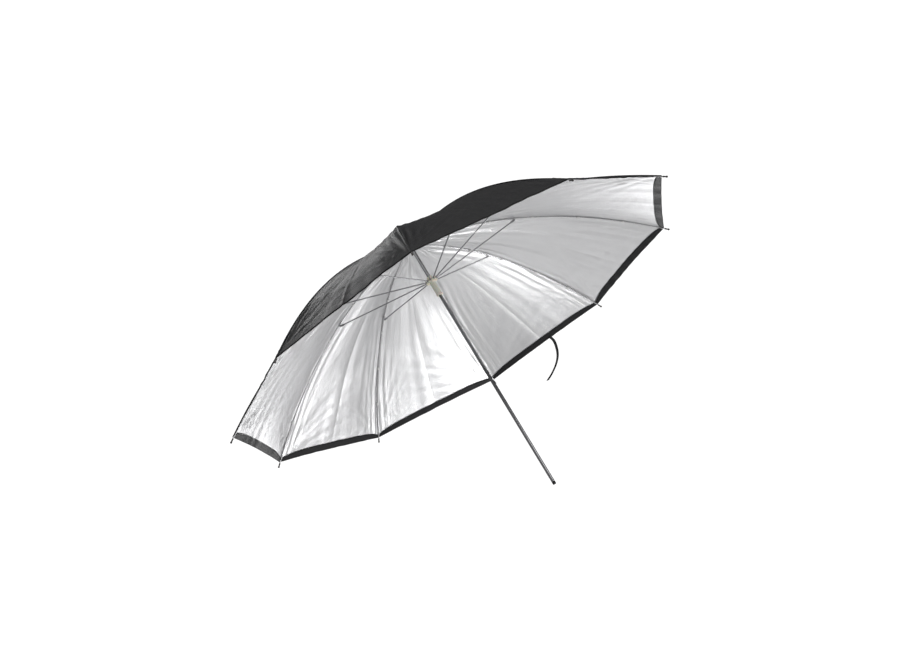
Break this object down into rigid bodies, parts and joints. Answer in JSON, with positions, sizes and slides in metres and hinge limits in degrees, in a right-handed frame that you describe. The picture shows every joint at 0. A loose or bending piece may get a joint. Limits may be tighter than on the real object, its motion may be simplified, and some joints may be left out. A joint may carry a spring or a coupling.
{
  "type": "umbrella reflector",
  "caption": "Open photographic umbrella: slim metal shaft, sliding runner, hinged ribs and stretchers, cloth canopy black outside and silver inside.",
  "frame": {"origin": "centre of the flat end face of the plug in the shaft's lower end, the end that goes into the lamp's umbrella bracket", "axes": "+Z along the shaft from that end up to the crown; rib 01 points along +X and the others follow anticlockwise every 36 degrees"},
  "size_m": [1.0226, 0.9728, 0.5928],
  "materials": {
    "shaft_metal": "polished dark grey metal",
    "frame_metal": "plated grey steel wire",
    "tip_metal": "dark polished steel",
    "bright_wire": "bright wire",
    "catch_steel": "satin spring steel",
    "black_plastic": "matt black",
    "runner_plastic": "cream, slightly translucent",
    "outer_cloth": "black tightly woven nylon",
    "silver_lining": "silver coated, satin",
    "sewing_thread": "white thread",
    "strap_webbing": "black webbing"
  },
  "bodies": {
    "root": {"shaft": "shaft_metal", "shaft_end_plug": "black_plastic", "crown": "black_plastic", "crown_wire": "bright_wire", "top_washer": "outer_cloth", "top_cap": "black_plastic"},
    "runner": {"runner": "runner_plastic"},
    "spring_catch": {"spring_catch": "catch_steel"},
    "rib_01": {"rib_01": "frame_metal", "rib_tip_01": "tip_metal"},
    "stretcher_01": {"stretcher_01": "frame_metal"},
    "canopy_01_left": {"canopy_01_left": "outer_cloth"},
    "canopy_01_right": {"canopy_01_right": "outer_cloth"},
    "rib_02": {"rib_02": "frame_metal", "rib_tip_02": "tip_metal"},
    "stretcher_02": {"stretcher_02": "frame_metal"},
    "canopy_02_left": {"canopy_02_left": "outer_cloth"},
    "canopy_02_right": {"canopy_02_right": "outer_cloth"},
    "rib_03": {"rib_03": "frame_metal", "rib_tip_03": "tip_metal"},
    "stretcher_03": {"stretcher_03": "frame_metal"},
    "canopy_03_left": {"canopy_03_left": "outer_cloth"},
    "canopy_03_right": {"canopy_03_right": "outer_cloth"},
    "rib_04": {"rib_04": "frame_metal", "rib_tip_04": "tip_metal"},
    "stretcher_04": {"stretcher_04": "frame_metal"},
    "canopy_04_left": {"canopy_04_left": "outer_cloth"},
    "canopy_04_right": {"canopy_04_right": "outer_cloth"},
    "rib_05": {"rib_05": "frame_metal", "rib_tip_05": "tip_metal"},
    "stretcher_05": {"stretcher_05": "frame_metal"},
    "canopy_05_left": {"canopy_05_left": "outer_cloth"},
    "canopy_05_right": {"canopy_05_right": "outer_cloth", "tie_strap": "strap_webbing"},
    "rib_06": {"rib_06": "frame_metal", "rib_tip_06": "tip_metal"},
    "stretcher_06": {"stretcher_06": "frame_metal"},
    "canopy_06_left": {"canopy_06_left": "outer_cloth"},
    "canopy_06_right": {"canopy_06_right": "outer_cloth"},
    "rib_07": {"rib_07": "frame_metal", "rib_tip_07": "tip_metal"},
    "stretcher_07": {"stretcher_07": "frame_metal"},
    "canopy_07_left": {"canopy_07_left": "outer_cloth"},
    "canopy_07_right": {"canopy_07_right": "outer_cloth"},
    "rib_08": {"rib_08": "frame_metal", "rib_tip_08": "tip_metal"},
    "stretcher_08": {"stretcher_08": "frame_metal"},
    "canopy_08_left": {"canopy_08_left": "outer_cloth"},
    "canopy_08_right": {"canopy_08_right": "outer_cloth"},
    "rib_09": {"rib_09": "frame_metal", "rib_tip_09": "tip_metal"},
    "stretcher_09": {"stretcher_09": "frame_metal"},
    "canopy_09_left": {"canopy_09_left": "outer_cloth"},
    "canopy_09_right": {"canopy_09_right": "outer_cloth"},
    "rib_10": {"rib_10": "frame_metal", "rib_tip_10": "tip_metal"},
    "stretcher_10": {"stretcher_10": "frame_metal"},
    "canopy_10_left": {"canopy_10_left": "outer_cloth"},
    "canopy_10_right": {"canopy_10_right": "outer_cloth"}
  },
  "joints": [
    {"name": "runner_slide", "type": "slide", "parent": "root", "child": "runner", "axis": [0, 0, -1], "range_m": [0, 0.33843], "deforming": ["canopy_01_left", "canopy_01_right", "canopy_02_left", "canopy_02_right", "canopy_03_left", "canopy_03_right", "canopy_04_left", "canopy_04_right", "canopy_05_left", "canopy_05_right", "canopy_06_left", "canopy_06_right", "canopy_07_left", "canopy_07_right", "canopy_08_left", "canopy_08_right", "canopy_09_left", "canopy_09_right", "canopy_10_left", "canopy_10_right"]},
    {"name": "catch_press", "type": "slide", "parent": "root", "child": "spring_catch", "axis": [-0.9511, 0.309, 0], "range_m": [0, 0.0012], "stiffness_N_per_m": 300},
    {"name": "rib_hinge_01", "type": "hinge", "parent": "root", "child": "rib_01", "pos_m": [0.01, 0, 0.5735], "axis": [0, 1, 0], "range_deg": [0, 65.92]},
    {"name": "stretcher_hinge_01", "type": "hinge", "parent": "rib_01", "child": "stretcher_01", "pos_m": [0.22355, 0, 0.53005], "axis": [0, 1, 0], "range_deg": [-131.83, 0]},
    {"name": "canopy_fold_01_left", "type": "hinge", "parent": "rib_01", "child": "canopy_01_left", "pos_m": [0.01, 0, 0.5735], "axis": [-0.9232, 0, 0.3844], "range_deg": [0, 69.42]},
    {"name": "canopy_fold_01_right", "type": "hinge", "parent": "rib_01", "child": "canopy_01_right", "pos_m": [0.01, 0, 0.5735], "axis": [0.9232, 0, -0.3844], "range_deg": [0, 69.42]},
    {"name": "rib_hinge_02", "type": "hinge", "parent": "root", "child": "rib_02", "pos_m": [0.00809, 0.00588, 0.5735], "axis": [-0.5878, 0.809, 0], "range_deg": [0, 65.92]},
    {"name": "stretcher_hinge_02", "type": "hinge", "parent": "rib_02", "child": "stretcher_02", "pos_m": [0.18085, 0.1314, 0.53005], "axis": [-0.5878, 0.809, 0], "range_deg": [-131.83, 0]},
    {"name": "canopy_fold_02_left", "type": "hinge", "parent": "rib_02", "child": "canopy_02_left", "pos_m": [0.00809, 0.00588, 0.5735], "axis": [-0.7469, -0.5426, 0.3844], "range_deg": [0, 69.42]},
    {"name": "canopy_fold_02_right", "type": "hinge", "parent": "rib_02", "child": "canopy_02_right", "pos_m": [0.00809, 0.00588, 0.5735], "axis": [0.7469, 0.5426, -0.3844], "range_deg": [0, 69.42]},
    {"name": "rib_hinge_03", "type": "hinge", "parent": "root", "child": "rib_03", "pos_m": [0.00309, 0.00951, 0.5735], "axis": [-0.9511, 0.309, 0], "range_deg": [0, 65.92]},
    {"name": "stretcher_hinge_03", "type": "hinge", "parent": "rib_03", "child": "stretcher_03", "pos_m": [0.06908, 0.2126, 0.53005], "axis": [-0.9511, 0.309, 0], "range_deg": [-131.83, 0]},
    {"name": "canopy_fold_03_left", "type": "hinge", "parent": "rib_03", "child": "canopy_03_left", "pos_m": [0.00309, 0.00951, 0.5735], "axis": [-0.2853, -0.878, 0.3844], "range_deg": [0, 69.42]},
    {"name": "canopy_fold_03_right", "type": "hinge", "parent": "rib_03", "child": "canopy_03_right", "pos_m": [0.00309, 0.00951, 0.5735], "axis": [0.2853, 0.878, -0.3844], "range_deg": [0, 69.42]},
    {"name": "rib_hinge_04", "type": "hinge", "parent": "root", "child": "rib_04", "pos_m": [-0.00309, 0.00951, 0.5735], "axis": [-0.9511, -0.309, 0], "range_deg": [0, 65.92]},
    {"name": "stretcher_hinge_04", "type": "hinge", "parent": "rib_04", "child": "stretcher_04", "pos_m": [-0.06908, 0.2126, 0.53005], "axis": [-0.9511, -0.309, 0], "range_deg": [-131.83, 0]},
    {"name": "canopy_fold_04_left", "type": "hinge", "parent": "rib_04", "child": "canopy_04_left", "pos_m": [-0.00309, 0.00951, 0.5735], "axis": [0.2853, -0.878, 0.3844], "range_deg": [0, 69.42]},
    {"name": "canopy_fold_04_right", "type": "hinge", "parent": "rib_04", "child": "canopy_04_right", "pos_m": [-0.00309, 0.00951, 0.5735], "axis": [-0.2853, 0.878, -0.3844], "range_deg": [0, 69.42]},
    {"name": "rib_hinge_05", "type": "hinge", "parent": "root", "child": "rib_05", "pos_m": [-0.00809, 0.00588, 0.5735], "axis": [-0.5878, -0.809, 0], "range_deg": [0, 65.92]},
    {"name": "stretcher_hinge_05", "type": "hinge", "parent": "rib_05", "child": "stretcher_05", "pos_m": [-0.18085, 0.1314, 0.53005], "axis": [-0.5878, -0.809, 0], "range_deg": [-131.83, 0]},
    {"name": "canopy_fold_05_left", "type": "hinge", "parent": "rib_05", "child": "canopy_05_left", "pos_m": [-0.00809, 0.00588, 0.5735], "axis": [0.7469, -0.5426, 0.3844], "range_deg": [0, 69.42]},
    {"name": "canopy_fold_05_right", "type": "hinge", "parent": "rib_05", "child": "canopy_05_right", "pos_m": [-0.00809, 0.00588, 0.5735], "axis": [-0.7469, 0.5426, -0.3844], "range_deg": [0, 69.42]},
    {"name": "rib_hinge_06", "type": "hinge", "parent": "root", "child": "rib_06", "pos_m": [-0.01, 0, 0.5735], "axis": [0, -1, 0], "range_deg": [0, 65.92]},
    {"name": "stretcher_hinge_06", "type": "hinge", "parent": "rib_06", "child": "stretcher_06", "pos_m": [-0.22355, 0, 0.53005], "axis": [0, -1, 0], "range_deg": [-131.83, 0]},
    {"name": "canopy_fold_06_left", "type": "hinge", "parent": "rib_06", "child": "canopy_06_left", "pos_m": [-0.01, 0, 0.5735], "axis": [0.9232, 0, 0.3844], "range_deg": [0, 69.42]},
    {"name": "canopy_fold_06_right", "type": "hinge", "parent": "rib_06", "child": "canopy_06_right", "pos_m": [-0.01, 0, 0.5735], "axis": [-0.9232, 0, -0.3844], "range_deg": [0, 69.42]},
    {"name": "rib_hinge_07", "type": "hinge", "parent": "root", "child": "rib_07", "pos_m": [-0.00809, -0.00588, 0.5735], "axis": [0.5878, -0.809, 0], "range_deg": [0, 65.92]},
    {"name": "stretcher_hinge_07", "type": "hinge", "parent": "rib_07", "child": "stretcher_07", "pos_m": [-0.18085, -0.1314, 0.53005], "axis": [0.5878, -0.809, 0], "range_deg": [-131.83, 0]},
    {"name": "canopy_fold_07_left", "type": "hinge", "parent": "rib_07", "child": "canopy_07_left", "pos_m": [-0.00809, -0.00588, 0.5735], "axis": [0.7469, 0.5426, 0.3844], "range_deg": [0, 69.42]},
    {"name": "canopy_fold_07_right", "type": "hinge", "parent": "rib_07", "child": "canopy_07_right", "pos_m": [-0.00809, -0.00588, 0.5735], "axis": [-0.7469, -0.5426, -0.3844], "range_deg": [0, 69.42]},
    {"name": "rib_hinge_08", "type": "hinge", "parent": "root", "child": "rib_08", "pos_m": [-0.00309, -0.00951, 0.5735], "axis": [0.9511, -0.309, 0], "range_deg": [0, 65.92]},
    {"name": "stretcher_hinge_08", "type": "hinge", "parent": "rib_08", "child": "stretcher_08", "pos_m": [-0.06908, -0.2126, 0.53005], "axis": [0.9511, -0.309, 0], "range_deg": [-131.83, 0]},
    {"name": "canopy_fold_08_left", "type": "hinge", "parent": "rib_08", "child": "canopy_08_left", "pos_m": [-0.00309, -0.00951, 0.5735], "axis": [0.2853, 0.878, 0.3844], "range_deg": [0, 69.42]},
    {"name": "canopy_fold_08_right", "type": "hinge", "parent": "rib_08", "child": "canopy_08_right", "pos_m": [-0.00309, -0.00951, 0.5735], "axis": [-0.2853, -0.878, -0.3844], "range_deg": [0, 69.42]},
    {"name": "rib_hinge_09", "type": "hinge", "parent": "root", "child": "rib_09", "pos_m": [0.00309, -0.00951, 0.5735], "axis": [0.9511, 0.309, 0], "range_deg": [0, 65.92]},
    {"name": "stretcher_hinge_09", "type": "hinge", "parent": "rib_09", "child": "stretcher_09", "pos_m": [0.06908, -0.2126, 0.53005], "axis": [0.9511, 0.309, 0], "range_deg": [-131.83, 0]},
    {"name": "canopy_fold_09_left", "type": "hinge", "parent": "rib_09", "child": "canopy_09_left", "pos_m": [0.00309, -0.00951, 0.5735], "axis": [-0.2853, 0.878, 0.3844], "range_deg": [0, 69.42]},
    {"name": "canopy_fold_09_right", "type": "hinge", "parent": "rib_09", "child": "canopy_09_right", "pos_m": [0.00309, -0.00951, 0.5735], "axis": [0.2853, -0.878, -0.3844], "range_deg": [0, 69.42]},
    {"name": "rib_hinge_10", "type": "hinge", "parent": "root", "child": "rib_10", "pos_m": [0.00809, -0.00588, 0.5735], "axis": [0.5878, 0.809, 0], "range_deg": [0, 65.92]},
    {"name": "stretcher_hinge_10", "type": "hinge", "parent": "rib_10", "child": "stretcher_10", "pos_m": [0.18085, -0.1314, 0.53005], "axis": [0.5878, 0.809, 0], "range_deg": [-131.83, 0]},
    {"name": "canopy_fold_10_left", "type": "hinge", "parent": "rib_10", "child": "canopy_10_left", "pos_m": [0.00809, -0.00588, 0.5735], "axis": [-0.7469, 0.5426, 0.3844], "range_deg": [0, 69.42]},
    {"name": "canopy_fold_10_right", "type": "hinge", "parent": "rib_10", "child": "canopy_10_right", "pos_m": [0.00809, -0.00588, 0.5735], "axis": [0.7469, -0.5426, -0.3844], "range_deg": [0, 69.42]}
  ],
  "couplings": [
    {"joint": "rib_hinge_01", "follows": "runner_slide", "rad_per_m": 3.3983},
    {"joint": "stretcher_hinge_01", "follows": "runner_slide", "rad_per_m": -6.7966},
    {"joint": "canopy_fold_01_left", "follows": "runner_slide", "rad_per_m": 3.5791},
    {"joint": "canopy_fold_01_right", "follows": "runner_slide", "rad_per_m": 3.5791},
    {"joint": "rib_hinge_02", "follows": "runner_slide", "rad_per_m": 3.3983},
    {"joint": "stretcher_hinge_02", "follows": "runner_slide", "rad_per_m": -6.7966},
    {"joint": "canopy_fold_02_left", "follows": "runner_slide", "rad_per_m": 3.5791},
    {"joint": "canopy_fold_02_right", "follows": "runner_slide", "rad_per_m": 3.5791},
    {"joint": "rib_hinge_03", "follows": "runner_slide", "rad_per_m": 3.3983},
    {"joint": "stretcher_hinge_03", "follows": "runner_slide", "rad_per_m": -6.7966},
    {"joint": "canopy_fold_03_left", "follows": "runner_slide", "rad_per_m": 3.5791},
    {"joint": "canopy_fold_03_right", "follows": "runner_slide", "rad_per_m": 3.5791},
    {"joint": "rib_hinge_04", "follows": "runner_slide", "rad_per_m": 3.3983},
    {"joint": "stretcher_hinge_04", "follows": "runner_slide", "rad_per_m": -6.7966},
    {"joint": "canopy_fold_04_left", "follows": "runner_slide", "rad_per_m": 3.5791},
    {"joint": "canopy_fold_04_right", "follows": "runner_slide", "rad_per_m": 3.5791},
    {"joint": "rib_hinge_05", "follows": "runner_slide", "rad_per_m": 3.3983},
    {"joint": "stretcher_hinge_05", "follows": "runner_slide", "rad_per_m": -6.7966},
    {"joint": "canopy_fold_05_left", "follows": "runner_slide", "rad_per_m": 3.5791},
    {"joint": "canopy_fold_05_right", "follows": "runner_slide", "rad_per_m": 3.5791},
    {"joint": "rib_hinge_06", "follows": "runner_slide", "rad_per_m": 3.3983},
    {"joint": "stretcher_hinge_06", "follows": "runner_slide", "rad_per_m": -6.7966},
    {"joint": "canopy_fold_06_left", "follows": "runner_slide", "rad_per_m": 3.5791},
    {"joint": "canopy_fold_06_right", "follows": "runner_slide", "rad_per_m": 3.5791},
    {"joint": "rib_hinge_07", "follows": "runner_slide", "rad_per_m": 3.3983},
    {"joint": "stretcher_hinge_07", "follows": "runner_slide", "rad_per_m": -6.7966},
    {"joint": "canopy_fold_07_left", "follows": "runner_slide", "rad_per_m": 3.5791},
    {"joint": "canopy_fold_07_right", "follows": "runner_slide", "rad_per_m": 3.5791},
    {"joint": "rib_hinge_08", "follows": "runner_slide", "rad_per_m": 3.3983},
    {"joint": "stretcher_hinge_08", "follows": "runner_slide", "rad_per_m": -6.7966},
    {"joint": "canopy_fold_08_left", "follows": "runner_slide", "rad_per_m": 3.5791},
    {"joint": "canopy_fold_08_right", "follows": "runner_slide", "rad_per_m": 3.5791},
    {"joint": "rib_hinge_09", "follows": "runner_slide", "rad_per_m": 3.3983},
    {"joint": "stretcher_hinge_09", "follows": "runner_slide", "rad_per_m": -6.7966},
    {"joint": "canopy_fold_09_left", "follows": "runner_slide", "rad_per_m": 3.5791},
    {"joint": "canopy_fold_09_right", "follows": "runner_slide", "rad_per_m": 3.5791},
    {"joint": "rib_hinge_10", "follows": "runner_slide", "rad_per_m": 3.3983},
    {"joint": "stretcher_hinge_10", "follows": "runner_slide", "rad_per_m": -6.7966},
    {"joint": "canopy_fold_10_left", "follows": "runner_slide", "rad_per_m": 3.5791},
    {"joint": "canopy_fold_10_right", "follows": "runner_slide", "rad_per_m": 3.5791}
  ]
}
